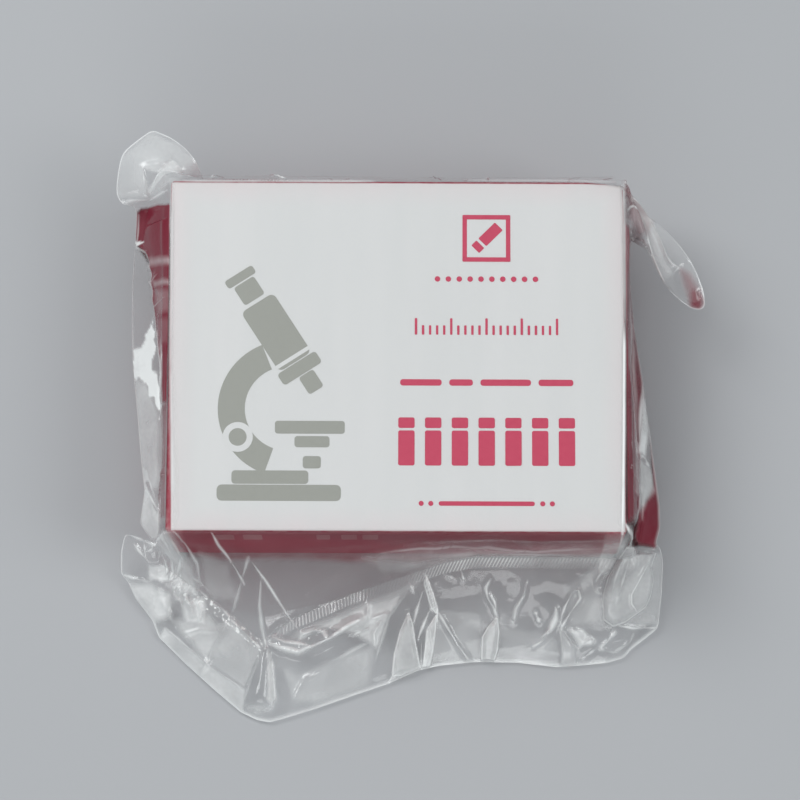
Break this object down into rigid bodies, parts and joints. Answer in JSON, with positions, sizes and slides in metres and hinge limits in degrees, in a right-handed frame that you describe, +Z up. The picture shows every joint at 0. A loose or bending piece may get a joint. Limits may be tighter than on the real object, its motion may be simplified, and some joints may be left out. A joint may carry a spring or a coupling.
{
  "type": "sealed carton of microscope slides",
  "caption": "Flat card carton of glass microscope slides with a lift-off lid, heat sealed in a clear crinkled film bag.",
  "frame": {"origin": "middle of the carton's footprint, on the surface that the bag lies on", "axes": "+Z up out of the carton's printed face, +X along the carton's long side, with the bag's sealed skirt towards -Y"},
  "size_m": [0.1072, 0.1049, 0.0273],
  "materials": {
    "clear_film": "clear glossy film, crinkled",
    "printed_card": "coated card, pale grey top and red sides",
    "plain_card": "uncoated card",
    "slide_glass": "polished faces with ground edges"
  },
  "bodies": {
    "root": {"film_bag": "clear_film", "carton_lid": "printed_card", "carton_base": "plain_card", "slide_01": "slide_glass", "slide_02": "slide_glass", "slide_03": "slide_glass", "slide_04": "slide_glass", "slide_05": "slide_glass", "slide_06": "slide_glass", "slide_07": "slide_glass", "slide_08": "slide_glass", "slide_09": "slide_glass", "slide_10": "slide_glass", "slide_11": "slide_glass", "slide_12": "slide_glass", "slide_13": "slide_glass", "slide_14": "slide_glass", "slide_15": "slide_glass", "slide_16": "slide_glass", "slide_17": "slide_glass", "slide_18": "slide_glass", "slide_19": "slide_glass", "slide_20": "slide_glass", "slide_21": "slide_glass", "slide_22": "slide_glass", "slide_23": "slide_glass", "slide_24": "slide_glass", "slide_25": "slide_glass", "slide_26": "slide_glass", "slide_27": "slide_glass", "slide_28": "slide_glass", "slide_29": "slide_glass", "slide_30": "slide_glass", "slide_31": "slide_glass", "slide_32": "slide_glass", "slide_33": "slide_glass", "slide_34": "slide_glass", "slide_35": "slide_glass", "slide_36": "slide_glass", "slide_37": "slide_glass", "slide_38": "slide_glass", "slide_39": "slide_glass", "slide_40": "slide_glass", "slide_41": "slide_glass", "slide_42": "slide_glass", "slide_43": "slide_glass", "slide_44": "slide_glass", "slide_45": "slide_glass", "slide_46": "slide_glass", "slide_47": "slide_glass", "slide_48": "slide_glass", "slide_49": "slide_glass", "slide_50": "slide_glass"}
  },
  "joints": []
}
